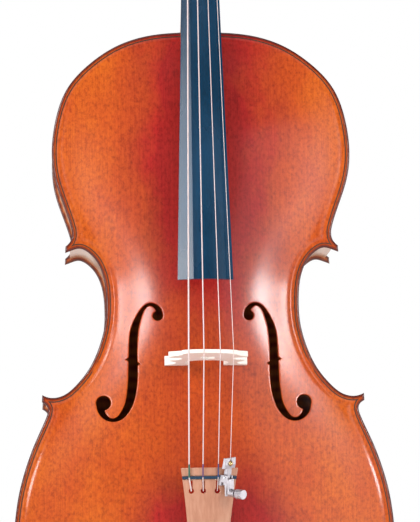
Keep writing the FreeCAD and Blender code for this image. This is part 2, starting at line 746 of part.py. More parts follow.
def tailgut():
    """One cord from the tailpiece, over the saddle, round the endpin's plug and back."""
    reach, thick = 8.2, 1.5
    over = FRONT_EDGE - SADDLE_RISE - thick
    low = BOTTOM - thick - 0.5
    bend = 3.0
    corner_y = over + bend
    side = [Vector(reach, over - 3.4, BOTTOM + 26), Vector(reach, over, BOTTOM + bend + 3)]
    side += [Vector(reach, over, low + bend), Vector(reach, corner_y, low), Vector(reach, 0, low)]
    middle = Vector(reach, corner_y - bend * math.cos(math.pi / 4), low + bend * (1 - math.sin(math.pi / 4)))
    edges = [Part.makeLine(side[0], side[1]), Part.makeLine(side[1], side[2])]
    edges += [Part.Arc(side[2], middle, side[3]).toShape(), Part.makeLine(side[3], side[4])]
    round_plug = Part.Arc(side[4], Vector(0, reach, low), Vector(-reach, 0, low)).toShape()
    others = [mirrored(edge) for edge in edges]
    path = Part.Wire(Part.__sortEdges__(edges + [round_plug] + others))
    start = path.Edges[0].valueAt(path.Edges[0].FirstParameter)
    way = path.Edges[0].tangentAt(path.Edges[0].FirstParameter)
    profile = Part.Wire(Part.makeCircle(thick, start, way))
    return path.makePipeShell([profile], True, False, 2)


def saddle(gut):
    block = box((-20, 20), (FRONT_EDGE - SADDLE_RISE, FRONT_RIB), (BOTTOM, BOTTOM + 9))
    ramp = polygon_face([
        Vector(-30, FRONT_EDGE - SADDLE_RISE - 1, BOTTOM + 10), Vector(-30, FRONT_EDGE - SADDLE_RISE - 1, BOTTOM + 4),
        Vector(-30, FRONT_EDGE, BOTTOM + 10),
    ]).extrude(Vector(60, 0, 0))
    return block.cut(ramp).cut(gut)


# ---------------------------------------------------------------- endpin

ROD_RADIUS = 5.0
ROD_LENGTH = 455.0
COLLAR_TOP = BOTTOM - 4.5
COLLAR_BOTTOM = BOTTOM - 17.0
CLAMP_HEIGHT = (COLLAR_TOP + COLLAR_BOTTOM) / 2


def upright(radius, low, high):
    return cylinder(radius, Vector(0, 0, low), Vector(0, 0, high))


def endpin_rod():
    """A steel rod with a ground point and a groove that marks how far out it stands."""
    rod = upright(ROD_RADIUS, 14, ROD_LENGTH).fuse(cone(0.6, ROD_RADIUS, Vector(0, 0, 0), Vector(0, 0, 14)))
    mark = upright(ROD_RADIUS + 1, 200, 201.5).cut(upright(ROD_RADIUS - 0.4, 199, 203))
    return rod.cut(mark)


def endpin_plug():
    taper = cone(12.2, 13.6, Vector(0, 0, BOTTOM + 33), Vector(0, 0, BOTTOM + RIB_OUTSIDE))
    shape = taper.fuse([upright(15.5, BOTTOM + 0.6, BOTTOM + RIB_OUTSIDE), upright(6.7, COLLAR_TOP, BOTTOM + 0.6)])
    return shape.cut(upright(ROD_RADIUS + 0.05, BOTTOM - 60, BOTTOM + 60))


def clamp_shank():
    return cylinder(2.5, Vector(ROD_RADIUS + 0.3, 0, CLAMP_HEIGHT), Vector(19, 0, CLAMP_HEIGHT))


def clamp_head():
    disc = cylinder(3.8, Vector(17.5, 0, CLAMP_HEIGHT), Vector(21, 0, CLAMP_HEIGHT))
    wing = box((20, 31), (-7.5, 7.5), (CLAMP_HEIGHT - 2, CLAMP_HEIGHT + 2))
    rounded = cylinder(8.5, Vector(22.5, 0, CLAMP_HEIGHT - 2), Vector(22.5, 0, CLAMP_HEIGHT + 2))
    return disc.fuse(wing.common(rounded)).cut(clamp_shank())


def endpin_collar():
    ring_part = upright(12.0, COLLAR_BOTTOM, COLLAR_TOP)
    boss = cylinder(5.2, Vector(6, 0, CLAMP_HEIGHT), Vector(15, 0, CLAMP_HEIGHT))
    bore = cylinder(2.55, Vector(0, 0, CLAMP_HEIGHT), Vector(20, 0, CLAMP_HEIGHT))
    return ring_part.fuse(boss).cut(upright(ROD_RADIUS + 0.05, 0, TOP)).cut(bore)


# ---------------------------------------------------------------- fine tuner

# The tuner stands square to the tailpiece's round front, so it leans outwards.
TUNER_LEAN = math.radians(43)
TUNER_DOWN = Vector(0, tail_front(1) - tail_front(0), -1).normalize()
TUNER_OUT = TUNER_DOWN.cross(Vector(1, 0, 0)).normalize()
if TUNER_OUT.y > 0:
    TUNER_OUT = TUNER_OUT * -1
TUNER_NORMAL = (TUNER_OUT * math.cos(TUNER_LEAN) + Vector(1, 0, 0) * math.sin(TUNER_LEAN)).normalize()
TUNER_SIDE = TUNER_NORMAL.cross(TUNER_DOWN).normalize()
TUNER_ORIGIN = at(TUNER_X, tail_front(TAIL_FRET) + sagitta(TUNER_X - tail_middle(TAIL_FRET), 75), TAIL_FRET)
SCREW_ALONG = 16.5
BOSS_END = 20.0  # outer end of the threaded boss
KNOB_FROM, KNOB_TO = 22.5, 32.5
PIVOT_ALONG = -1.0
PIVOT_HEIGHT = 6.6
BALL_ALONG = -17.5
BALL_OUT = 11.8


def tuner(side, along, out):
    """A point on the tuner: across it, down along the tailpiece and out from its face."""
    return TUNER_ORIGIN + TUNER_SIDE * side + TUNER_DOWN * along + TUNER_NORMAL * out


def tuner_prism(profile, side_from, side_to):
    """A side view, as (along, out) points, given its width across the tuner."""
    face = polygon_face([tuner(side_from, along, out) for along, out in profile])
    return face.extrude(TUNER_SIDE * (side_to - side_from))


def tuner_cylinder(radius, along, out_from, out_to):
    return cylinder(radius, tuner(0, along, out_from), tuner(0, along, out_to))


def tuner_lever():
    arm = tuner_prism([(-5, 4.2), (21, 5.2), (21, 7.2), (2.5, 9.4), (-5, 10.2)], -2.5, 2.5)
    neck = tuner_prism([(-4.5, 4.2), (-12, 6.5), (-12, 11), (-4.5, 10.2)], -3.4, 3.4)
    fork = tuner_prism([(-11.5, 6.5), (-16, 7.5), (-24, 9.5), (-24, 12.5), (-16, 12), (-11.5, 11)], -8.5, 8.5)
    slot = tuner_prism([(-14, 0), (-30, 0), (-30, 20), (-14, 20)], -1.3, 1.3)
    pocket = cylinder(3.1, tuner(0, BALL_ALONG, 8.6), tuner(0, BALL_ALONG, 20))
    bore = cylinder(1.3, tuner(-9, PIVOT_ALONG, PIVOT_HEIGHT), tuner(9, PIVOT_ALONG, PIVOT_HEIGHT))
    return arm.fuse([neck, fork]).cut(slot).cut(pocket).cut(bore)


def tuner_bracket(tail):
    ear = [(-3.6, -4), (5, -4), (5, 11.2), (-3.6, 11.2)]
    ears = [tuner_prism(ear, 2.8, 4.4), tuner_prism(ear, -4.4, -2.8)]
    roof = tuner_prism([(0.5, 11.0), (SCREW_ALONG, 11.0), (SCREW_ALONG, 13.4), (0.5, 13.4)], -4.4, 4.4)
    boss = tuner_cylinder(4.6, SCREW_ALONG, 11.0, BOSS_END)
    base = tuner_prism([(-3.6, -4), (9, -4), (9, 1.6), (-3.6, 1.6)], -4.4, 4.4)
    pin = cylinder(1.25, tuner(-9, PIVOT_ALONG, PIVOT_HEIGHT), tuner(9, PIVOT_ALONG, PIVOT_HEIGHT))
    shape = ears[0].fuse([ears[1], roof, boss, base]).cut(tail).cut(pin)
    shape = shape.cut(tuner_cylinder(1.55, SCREW_ALONG, 9, BOSS_END + 1))
    return max(shape.Solids, key=lambda solid: solid.Volume)


def tuner_pin():
    return cylinder(1.25, tuner(-5, PIVOT_ALONG, PIVOT_HEIGHT), tuner(5, PIVOT_ALONG, PIVOT_HEIGHT))


def tuner_shank():
    return tuner_cylinder(1.5, SCREW_ALONG, 8.05, KNOB_TO - 3.5)


def tuner_head():
    knob = tuner_cylinder(5.6, SCREW_ALONG, KNOB_FROM, KNOB_TO)
    for i in range(16):
        angle = 2 * math.pi * i / 16
        start = tuner(5.95 * math.cos(angle), SCREW_ALONG + 5.95 * math.sin(angle), KNOB_FROM - 1)
        knob = knob.cut(cylinder(0.7, start, start + TUNER_NORMAL * 12))
    return knob.cut(tuner_shank())


def string_ball():
    hole = cylinder(0.7, tuner(0, BALL_ALONG - 9, BALL_OUT), tuner(0, BALL_ALONG + 9, BALL_OUT))
    return Part.makeSphere(2.9, tuner(0, BALL_ALONG, BALL_OUT)).cut(hole)


# ---------------------------------------------------------------- the whole cello


def build():
    parts = {}
    top, hollow, in_front = plate(True)
    back, back_hollow, _ = plate(False)
    for tool in f_hole_tools():
        top = top.cut(tool)
    parts.update(ribs())
    top_block, bottom_block, corner_blocks = blocks()
    neck = neck_and_scroll()
    plug = endpin_plug()
    gut = tailgut()
    saddle_block = saddle(gut)
    post = sound_post(top, back)
    top_strip, top_groove = purfling(True)
    back_strip, back_groove = purfling(False)
    all_blocks = Part.makeCompound([top_block, bottom_block, corner_blocks])
    cut_outs = Part.makeCompound([neck, plug, saddle_block])
    drilled = upright(13.6, BOTTOM - 2, BOTTOM + 6)

    parts["top_plate"] = top.cut(top_groove).cut(neck).cut(saddle_block)
    parts["back_plate"] = back.cut(back_groove)
    parts["top_purfling"] = top_strip.cut(neck).cut(saddle_block)
    parts["back_purfling"] = back_strip
    parts["top_block"] = top_block.cut(neck)
    parts["bottom_block"] = bottom_block.cut(plug).cut(upright(12.0, BOTTOM, BOTTOM + 40))
    parts["corner_blocks"] = corner_blocks
    parts["top_linings"] = linings(FRONT_RIB, FRONT_RIB + 16, all_blocks)
    parts["back_linings"] = linings(BACK_RIB - 16, BACK_RIB, all_blocks)
    parts["bass_bar"] = bass_bar(hollow)
    parts["sound_post"] = post
    for name in ("rib_upper_treble", "rib_upper_bass"):
        parts[name] = parts[name].cut(neck)
    for name in ("rib_lower_treble", "rib_lower_bass"):
        parts[name] = parts[name].cut(plug).cut(drilled)

    parts["neck_and_scroll"] = neck
    parts["fingerboard"] = fingerboard()
    parts["nut"] = nut()
    parts["saddle"] = saddle_block
    parts["bridge"] = bridge(in_front)
    fret = fret_band()
    for name in ("c", "g", "d"):
        fret = fret.cut(string_run(name, 0.02))
    tail = tailpiece(fret_band(), gut)
    bracket = tuner_bracket(tail.fuse(fret_band()))
    parts["tailpiece"] = tail
    parts["tailpiece_fret"] = fret.cut(bracket)
    parts["tailgut"] = gut
    parts["tuner_bracket"] = bracket
    parts["tuner_pin"] = tuner_pin()
    parts["tuner_lever"] = tuner_lever()
    parts["tuner_screw_shank"] = tuner_shank()
    parts["tuner_screw_head"] = tuner_head()
    parts["string_a_ball"] = string_ball()

    for name in STRING_NAMES:
        parts["string_" + name] = string_run(name)
        parts["peg_" + name] = peg(name)
        parts["string_turns_" + name] = windings(name)

    parts["endpin_plug"] = plug
    parts["endpin_collar"] = endpin_collar()
    parts["endpin_rod"] = endpin_rod()
    parts["clamp_screw_shank"] = clamp_shank()
    parts["clamp_screw_head"] = clamp_head()
    return parts


os.makedirs("parts", exist_ok=True)
for part_name, part_shape in build().items():
    part_shape.exportStep("parts/" + part_name + ".step")
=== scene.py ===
import json
import math

import bmesh
import bpy
import numpy as np
from mathutils import Matrix, Vector, kdtree
from mathutils.geometry import delaunay_2d_cdt


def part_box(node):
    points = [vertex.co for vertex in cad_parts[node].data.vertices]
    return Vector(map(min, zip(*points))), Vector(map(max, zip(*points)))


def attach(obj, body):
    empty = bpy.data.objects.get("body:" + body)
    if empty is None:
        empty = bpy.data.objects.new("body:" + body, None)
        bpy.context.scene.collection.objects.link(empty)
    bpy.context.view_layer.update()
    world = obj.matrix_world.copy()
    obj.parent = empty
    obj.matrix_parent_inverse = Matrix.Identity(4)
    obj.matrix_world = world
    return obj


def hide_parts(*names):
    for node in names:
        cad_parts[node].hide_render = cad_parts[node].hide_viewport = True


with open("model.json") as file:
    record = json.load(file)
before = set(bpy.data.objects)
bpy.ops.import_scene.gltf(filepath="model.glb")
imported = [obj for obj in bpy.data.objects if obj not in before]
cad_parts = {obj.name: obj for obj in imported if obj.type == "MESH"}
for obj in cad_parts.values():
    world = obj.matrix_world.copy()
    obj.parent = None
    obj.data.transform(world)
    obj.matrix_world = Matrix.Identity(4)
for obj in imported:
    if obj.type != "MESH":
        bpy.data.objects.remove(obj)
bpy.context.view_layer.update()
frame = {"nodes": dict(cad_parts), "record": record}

# A cello's looks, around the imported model. Metres, +Z up the body, the front faces -Y, the treble side is +X.

NODES = frame["nodes"]
BODY = "cello_body"
MM = 0.001

# ---------------------------------------------------------------- places from the frame


def span(node):
    low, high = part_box(node)
    return Vector(low), Vector(high)


TOP_LOW, TOP_HIGH = span("top_plate")
BODY_TOP, BODY_BOTTOM = TOP_HIGH.z, TOP_LOW.z
BODY_LENGTH = BODY_TOP - BODY_BOTTOM
FRONT_RIB = span("rib_upper_bass")[0].y
BACK_RIB = -FRONT_RIB
EDGE = 5 * MM  # how thick both plates are at their edge
PLATE = 4.7 * MM  # and everywhere inside it
WELD = 0.004 * MM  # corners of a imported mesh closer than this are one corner

# ---------------------------------------------------------------- node helpers


class Shader:
    """A material's node tree, with short calls for the nodes that every finish here uses."""

    def __init__(self, name):
        self.material = bpy.data.materials.new(name)
        self.material.use_nodes = True
        self.tree = self.material.node_tree
        self.bsdf = self.tree.nodes["Principled BSDF"]
        self.place = self.add("ShaderNodeTexCoord").outputs["Object"]

    def add(self, kind, **settings):
        node = self.tree.nodes.new(kind)
        for key, value in settings.items():
            setattr(node, key, value)
        return node

    def link(self, source, target):
        self.tree.links.new(source, target)

    def stretched(self, scale):
        """Object coordinates, scaled on each axis (features per metre)."""
        mapping = self.add("ShaderNodeMapping")
        mapping.inputs["Scale"].default_value = scale
        self.link(self.place, mapping.inputs["Vector"])
        return mapping.outputs["Vector"]

    def noise(self, scale, detail=3.0, roughness=0.55, distortion=0.0):
        node = self.add("ShaderNodeTexNoise")
        node.inputs["Scale"].default_value = 1.0
        node.inputs["Detail"].default_value = detail
        node.inputs["Roughness"].default_value = roughness
        node.inputs["Distortion"].default_value = distortion
        self.link(self.stretched(scale), node.inputs["Vector"])
        return node.outputs["Fac"]

    def ramp(self, factor, *stops):
        """Colours along a factor: each stop is (position, (r, g, b))."""
        node = self.add("ShaderNodeValToRGB")
        ramp = node.color_ramp
        while len(ramp.elements) < len(stops):
            ramp.elements.new(0.5)
        for element, (position, colour) in zip(ramp.elements, stops):
            element.position = position
            element.color = (*colour, 1.0)
        self.link(factor, node.inputs["Fac"])
        return node.outputs["Color"]

    def mix(self, factor, first, second, how="MIX"):
        """Mixes two colours; a colour or the factor can be a value or a socket."""
        node = self.add("ShaderNodeMix", data_type="RGBA", blend_type=how)
        for socket, value in ((node.inputs[0], factor), (node.inputs[6], first), (node.inputs[7], second)):
            if isinstance(value, bpy.types.NodeSocket):
                self.link(value, socket)
            elif isinstance(value, tuple):
                socket.default_value = (*value, 1.0)
            else:
                socket.default_value = value
        return node.outputs[2]

    def maths(self, operation, *values):
        node = self.add("ShaderNodeMath", operation=operation)
        for socket, value in zip(node.inputs, values):
            if isinstance(value, bpy.types.NodeSocket):
                self.link(value, socket)
            else:
                socket.default_value = value
        return node.outputs[0]

    def axis(self, name):
        node = self.add("ShaderNodeSeparateXYZ")
        self.link(self.place, node.inputs[0])
        return node.outputs[name]

    def spread(self, value, low, high, to_low=0.0, to_high=1.0):
        node = self.add("ShaderNodeMapRange", interpolation_type="SMOOTHSTEP")
        for socket, number in zip(node.inputs[1:5], (low, high, to_low, to_high)):
            socket.default_value = number
        self.link(value, node.inputs[0])
        return node.outputs[0]

    def darkened_rim(self, colour):
        """Darkens a plate's outermost rim nearly to black."""
        rim = self.add("ShaderNodeAttribute", attribute_name="from_edge").outputs["Fac"]
        wander = self.noise((60, 60, 60), 3)
        rim = self.maths("MULTIPLY_ADD", wander, 0.8, rim)
        shade = self.ramp(
            self.spread(rim, 1.2, 5.6),
            (0.0, (0.16, 0.075, 0.085)), (0.35, (0.42, 0.30, 0.30)), (1.0, (1, 1, 1)),
        )
        return self.mix(1.0, colour, shade, "MULTIPLY")

    def painted_shade_and_ridge_light(self, colour):
        """Painted shade in hollows and painted light on ridges, read from the mesh's pointiness, to bring out
        the carving.
        """
        hollow = self.add("ShaderNodeNewGeometry").outputs["Pointiness"]
        shade = self.ramp(
            self.spread(hollow, 0.44, 0.56),
            (0.0, (0.30, 0.20, 0.15)), (0.5, (1, 1, 1)), (1.0, (1.25, 1.2, 1.1)),
        )
        return self.mix(1.0, colour, shade, "MULTIPLY")

    def bump(self, height, strength, distance):
        node = self.add("ShaderNodeBump")
        node.inputs["Strength"].default_value = strength
        node.inputs["Distance"].default_value = distance
        self.link(height, node.inputs["Height"])
        self.link(node.outputs["Normal"], self.bsdf.inputs["Normal"])

    def finish(self, colour=None, roughness=None, **constants):
        if colour is not None:
            self.link(colour, self.bsdf.inputs["Base Color"])
        if isinstance(roughness, bpy.types.NodeSocket):
            self.link(roughness, self.bsdf.inputs["Roughness"])
        elif roughness is not None:
            self.bsdf.inputs["Roughness"].default_value = roughness
        for name, value in constants.items():
            self.bsdf.inputs[name.replace("_", " ").title().replace("Ior", "IOR")].default_value = value
        return self.material


# ---------------------------------------------------------------- materials


def varnished_spruce():
    """Orange varnish that deepens to red along the middle and low down, over fine upright grain."""
    s = Shader("varnished_spruce")
    across, up = s.axis("X"), s.axis("Z")
    off_centre = s.maths("ABSOLUTE", s.maths("SUBTRACT", across, 0.008))
    upper = s.spread(up, BODY_TOP - 0.42, BODY_TOP - 0.22, 0.0, 0.85)
    lower = s.spread(up, BODY_TOP - 0.60, BODY_TOP - 0.50, 1.5, 0.0)
    middle = s.spread(off_centre, 0.015, 0.135, 1.0, 0.0)
    deep = s.maths("MULTIPLY_ADD", s.maths("ADD", upper, lower), 0.85, 0.32)
    cloud = s.noise((16, 16, 11), 4, 0.6)
    red = s.maths("MULTIPLY_ADD", middle, deep, s.maths("MULTIPLY_ADD", cloud, 1.1, -0.42))
    body = s.ramp(
        red, (0.0, (0.60, 0.105, 0.007)), (0.3, (0.53, 0.070, 0.007)),
        (0.65, (0.44, 0.046, 0.009)), (1.0, (0.41, 0.014, 0.011)),
    )
    mottle = s.noise((270, 60, 190), 4, 0.7)
    mottle = s.ramp(mottle, (0.3, (0.55, 0.46, 0.5)), (0.5, (1, 1, 1)), (0.7, (1.2, 1.4, 1.4)))
    body = s.mix(0.8, body, mottle, "MULTIPLY")
    grain = s.noise((900, 30, 12), 2, 0.5)
    body = s.mix(0.35, body, s.ramp(grain, (0.35, (0.7, 0.62, 0.6)), (0.6, (1.06, 1.06, 1.06))), "MULTIPLY")
    body = s.darkened_rim(body)
    s.bump(grain, 0.08, 0.0004)
    haze = s.noise((25, 25, 18), 3)
    return s.finish(
        body, s.spread(haze, 0.3, 0.7, 0.36, 0.48), specular_ior_level=0.1,
        coat_weight=0.8, coat_roughness=0.17, coat_ior=1.5,
    )


def flamed_maple(name, light, dark, coat=0.85, gloss=0.16, plate=False, painted_relief=False):
    """Maple with curl: soft bands across the grain, that shift from place to place."""
    s = Shader(name)
    wander = s.noise((9, 9, 6), 3, 0.6)
    bands = s.add("ShaderNodeTexWave", wave_type="BANDS", bands_direction="Z")
    bands.inputs["Scale"].default_value = 24.0
    bands.inputs["Distortion"].default_value = 5.5
    bands.inputs["Detail"].default_value = 3.0
    bands.inputs["Detail Scale"].default_value = 0.9
    s.link(s.stretched((0.45, 0.45, 1.0)), bands.inputs["Vector"])
    flame = s.maths("MULTIPLY_ADD", wander, 0.6, s.maths("MULTIPLY", bands.outputs["Fac"], 0.62))
    colour = s.ramp(flame, (0.22, dark), (0.8, light))
    fibre = s.noise((420, 420, 30), 3, 0.6)
    streaks = s.ramp(fibre, (0.35, (0.72, 0.66, 0.6)), (0.65, (1.1, 1.1, 1.1)))
    colour = s.mix(0.55, colour, streaks, "MULTIPLY")
    pores = s.noise((1400, 1400, 160), 2, 0.5)
    if plate:
        colour = s.darkened_rim(colour)
    # Painted shade in the hollows and painted light on the ridges.
    if painted_relief:
        colour = s.painted_shade_and_ridge_light(colour)
    s.bump(fibre, 0.08, 0.0003)
    return s.finish(
        colour, s.spread(pores, 0.3, 0.7, 0.28, 0.42), coat_weight=coat, coat_roughness=gloss, coat_ior=1.5,
    )


def bare_wood(name, light, dark):
    """Unvarnished wood with fibres along Z."""
    s = Shader(name)
    fibre = s.noise((300, 300, 22), 4, 0.6)
    tone = s.noise((12, 12, 6), 3)
    blend = s.maths("MULTIPLY_ADD", tone, 0.5, s.maths("MULTIPLY", fibre, 0.55))
    colour = s.ramp(blend, (0.3, dark), (0.75, light))
    s.bump(fibre, 0.2, 0.0004)
    return s.finish(colour, 0.62)


def ebony():
    """Dark polished wood with pores along the grain, coloured with a painted blue cast that stands in for the
    blue light on it.
    """
    s = Shader("ebony")
    # Painted light: this blue cast stands in for the blue light the board sits in.
    painted_blue_cast = (0.001, 0.052, 0.125)
    pores = s.noise((900, 900, 26), 3, 0.6)
    tone = s.noise((20, 20, 5), 3)
    deep = tuple(channel * 0.35 for channel in painted_blue_cast)
    blend = s.maths("MULTIPLY_ADD", tone, 0.6, s.maths("MULTIPLY", pores, 0.4))
    colour = s.ramp(blend, (0.3, deep), (0.75, painted_blue_cast))
    s.bump(pores, 0.1, 0.0002)
    return s.finish(colour, s.spread(tone, 0.3, 0.7, 0.2, 0.3), specular_ior_level=0.55)


def bridge_wood():
    """Pale maple with short brown flecks."""
    s = Shader("bridge_wood")
    fleck = s.noise((240, 700, 520), 3, 0.65)
    tone = s.noise((40, 40, 30), 3)
    colour = s.ramp(tone, (0.3, (0.97, 0.90, 0.80)), (0.7, (1.0, 0.96, 0.90)))
    colour = s.mix(0.8, colour, s.ramp(fleck, (0.3, (0.78, 0.6, 0.46)), (0.4, (1, 1, 1))), "MULTIPLY")
    s.bump(fleck, 0.1, 0.0003)
    return s.finish(colour, 0.42, coat_weight=0.15, coat_roughness=0.3)


def boxwood():
    """Pinkish-tan turned wood, polished."""
    s = Shader("boxwood")
    fibre = s.noise((260, 260, 20), 4, 0.6, 0.4)
    tone = s.noise((26, 26, 8), 3)
    colour = s.ramp(
        s.maths("MULTIPLY_ADD", tone, 0.55, s.maths("MULTIPLY", fibre, 0.5)),
        (0.28, (0.38, 0.14, 0.070)), (0.5, (0.52, 0.22, 0.125)), (0.78, (0.66, 0.34, 0.22)),
    )
    s.bump(fibre, 0.1, 0.0003)
    return s.finish(colour, s.spread(tone, 0.3, 0.7, 0.28, 0.4), coat_weight=0.6, coat_roughness=0.18)


def metal(name, colour, roughness):
    """Metal with faint marks that dull it here and there."""
    s = Shader(name)
    mark = s.noise((300, 300, 300), 3, 0.6)
    shade = s.ramp(mark, (0.3, tuple(c * 0.82 for c in colour)), (0.7, colour))
    s.bump(mark, 0.05, 0.0001)
    return s.finish(shade, s.spread(mark, 0.3, 0.7, roughness * 0.8, roughness * 1.3), metallic=1.0)


def wound_string(name, colour):
    """Flat ribbon wound round a string: fine rings across it."""
    s = Shader(name)
    rings = s.add("ShaderNodeTexWave", wave_type="BANDS", bands_direction="Z")
    rings.inputs["Scale"].default_value = 520.0
    s.link(s.place, rings.inputs["Vector"])
    shade = s.ramp(rings.outputs["Fac"], (0.2, tuple(c * 0.86 for c in colour)), (0.8, colour))
    s.bump(rings.outputs["Fac"], 0.15, 0.0001)
    return s.finish(shade, 0.3, metallic=0.25)


def silk(name, colour):
    """Thread wrapped round the ends of a string."""
    s = Shader(name)
    rings = s.add("ShaderNodeTexWave", wave_type="BANDS", bands_direction="Z")
    rings.inputs["Scale"].default_value = 330.0
    rings.inputs["Distortion"].default_value = 1.0
    s.link(s.place, rings.inputs["Vector"])
    shade = s.ramp(rings.outputs["Fac"], (0.1, tuple(c * 0.5 for c in colour)), (0.8, colour))
    s.bump(rings.outputs["Fac"], 0.6, 0.0002)
    return s.finish(shade, 0.6, sheen_weight=0.5)


def cord():
    """Braided cord."""
    s = Shader("braided_cord")
    weave = s.add("ShaderNodeTexVoronoi")
    weave.inputs["Scale"].default_value = 1500.0
    s.link(s.place, weave.inputs["Vector"])
    shade = s.ramp(weave.outputs["Distance"], (0.0, (0.05, 0.05, 0.055)), (0.7, (0.012, 0.012, 0.014)))
    s.bump(weave.outputs["Distance"], 0.5, 0.0003)
    return s.finish(shade, 0.55)


def purfling_wood():
    """Two dark strips with a pale one between, seen as one dark line."""
    s = Shader("purfling_wood")
    grain = s.noise((500, 500, 60), 3)
    shade = s.ramp(grain, (0.3, (0.030, 0.012, 0.006)), (0.7, (0.075, 0.028, 0.012)))
    return s.finish(shade, 0.35, coat_weight=0.8, coat_roughness=0.18)


def floor_paint():
    s = Shader("floor_paint")
    grain = s.noise((3, 3, 3), 4)
    shade = s.ramp(grain, (0.3, (0.34, 0.34, 0.34)), (0.7, (0.38, 0.38, 0.38)))
    return s.finish(shade, 0.7, emission_color=(1.0, 1.0, 1.0, 1.0), emission_strength=0.6)


MATERIALS = {
    "top_varnish": varnished_spruce(),
    "body_varnish": flamed_maple("varnished_maple", (0.90, 0.54, 0.32), (0.78, 0.40, 0.20)),
    # The neck and scroll get painted shade in their hollows and painted light on their ridges.
    "neck_maple": flamed_maple(
        "neck_maple", (0.76, 0.36, 0.13), (0.52, 0.18, 0.05), coat=0.6, gloss=0.22, painted_relief=True,
    ),
    "purfling": purfling_wood(),
    "plain_spruce": bare_wood("bare_spruce", (0.78, 0.58, 0.36), (0.55, 0.35, 0.18)),
    "ebony": ebony(),
    "bridge_maple": bridge_wood(),
    "boxwood": boxwood(),
    "string_metal": wound_string("string_steel", (0.86, 0.70, 0.68)),
    "gut_cord": cord(),
    "steel": metal("polished_steel", (0.62, 0.63, 0.66), 0.22),
    "nickel": metal("satin_nickel", (0.58, 0.55, 0.59), 0.34),
    "ball_brass": metal("brass", (0.80, 0.58, 0.25), 0.25),
}


BACK_MAPLE = flamed_maple("varnished_back", (0.76, 0.23, 0.045), (0.50, 0.085, 0.014), plate=True)
SILK = {
    "green": silk("green_silk", (0.02, 0.16, 0.10)),
    "purple": silk("purple_silk", (0.16, 0.05, 0.20)),
    "red": silk("red_silk", (0.45, 0.03, 0.03)),
    "blue": silk("blue_silk", (0.03, 0.07, 0.30)),
}


def dress(thing, material):
    for slot in thing.material_slots:
        slot.link = "OBJECT"
        slot.material = material


for subpart in frame["record"]["subparts"]:
    dress(NODES[subpart["node"]], MATERIALS[subpart["material_slot"]])

# ---------------------------------------------------------------- arching
# Every length here is in millimetres, and "down" is measured from the body's top edge.

ARCH_START = 11.0  # from the body's ends to where the arch begins to rise
ARCH_MIDDLE = BODY_LENGTH / MM / 2
UPPER_WIDEST, LOWER_WIDEST = 146, 598
SQUARENESS = 2.35  # 2 makes the arch's contours ellipses, more makes them squarer
END_DROP = 0.2  # share of the crown that is lost towards each end
CROSS_POWER = 1.25
TOP_CROWN = 21.0
BACK_CROWN = 20.0


def smoothstep(t):
    t = np.clip(t, 0.0, 1.0)
    return t * t * (3 - 2 * t)


def waist(down):
    """Half the arching's width, which passes through the bouts but ignores the corners."""
    return 163.0 - 58.0 * smoothstep((down - 150) / 165) + 103.0 * smoothstep((down - 325) / 235)


def rise(x, down):
    """Arch height at a place, from 0 at the edge to 1 at the crown, as the solid plates have it."""
    near_end = np.maximum(0.0, (UPPER_WIDEST - down) / (UPPER_WIDEST - ARCH_START))
    far_end = np.maximum(0.0, (down - LOWER_WIDEST) / (BODY_LENGTH / MM - LOWER_WIDEST - ARCH_START))
    sides = (np.abs(x) / waist(down)) ** SQUARENESS
    out = (sides + (near_end + far_end) ** SQUARENESS) ** (1 / SQUARENESS)
    along = 1 - END_DROP * ((down - ARCH_MIDDLE) / ARCH_MIDDLE) ** 2
    return along * np.maximum(0.0, 1 - out * out) ** CROSS_POWER


# ---------------------------------------------------------------- mesh helpers


def add_mesh(name, points, faces, slot, body=BODY, smooth_angle=40.0, material=None):
    """A piece from metre points, shaded smooth except at edges sharper than smooth_angle."""
    mesh = bpy.data.meshes.new(name)
    mesh.from_pydata([tuple(p) for p in points], [], [tuple(f) for f in faces])
    mesh.update()
    thing = bpy.data.objects.new(name, mesh)
    bpy.context.collection.objects.link(thing)
    settle(thing, slot, body, smooth_angle, material)
    return thing


def settle(thing, slot, body, smooth_angle=40.0, material=None):
    """Gives a new piece its normals, shading, finish and body."""
    tidy = bmesh.new()
    tidy.from_mesh(thing.data)
    bmesh.ops.recalc_face_normals(tidy, faces=tidy.faces)
    tidy.to_mesh(thing.data)
    tidy.free()
    thing.data.polygons.foreach_set("use_smooth", [True] * len(thing.data.polygons))
    thing.data.set_sharp_from_angle(angle=math.radians(smooth_angle))
    thing.data.materials.clear()
    thing.data.materials.append(material or MATERIALS[slot])
    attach(thing, body)


def wall_loops(node):
    """The rims of a plate's upright walls, as closed loops of (x, z) corners with their greatest gap."""
    plate = bmesh.new()
    plate.from_mesh(NODES[node].data)
    bmesh.ops.remove_doubles(plate, verts=plate.verts, dist=WELD)
    walls = {face.index for face in plate.faces if abs(face.normal.y) < 0.25 and face.calc_area() > 1e-11}
    onward = {}
    for edge in plate.edges:
        if sum(face.index in walls for face in edge.link_faces) == 1:
            first, second = (vert.index for vert in edge.verts)
            onward.setdefault(first, []).append(second)
            onward.setdefault(second, []).append(first)
    places = {vert.index: vert.co.copy() for vert in plate.verts}
    plate.free()
    loops, used = [], set()
    for start in sorted(onward, key=lambda v: (len(onward[v]), v)):
        chain = []
        ahead = [start]
        while ahead and ahead[0] not in used:
            chain.append(ahead[0])
            used.add(ahead[0])
            ahead = [v for v in onward[chain[-1]] if v not in used]
        if len(chain) > 20:
            gap = (places[chain[0]] - places[chain[-1]]).length
            loops.append((gap, np.array([(places[v].x, places[v].z) for v in chain])))
    return loops


def outline_loop(loops):
    """The plate's own outline: of the loops that reach its full width, the one best closed."""
    widest = max(np.ptp(loop[:, 0]) for _, loop in loops)
    return min((gap, i) for i, (gap, loop) in enumerate(loops) if np.ptp(loop[:, 0]) > 0.998 * widest)[1]


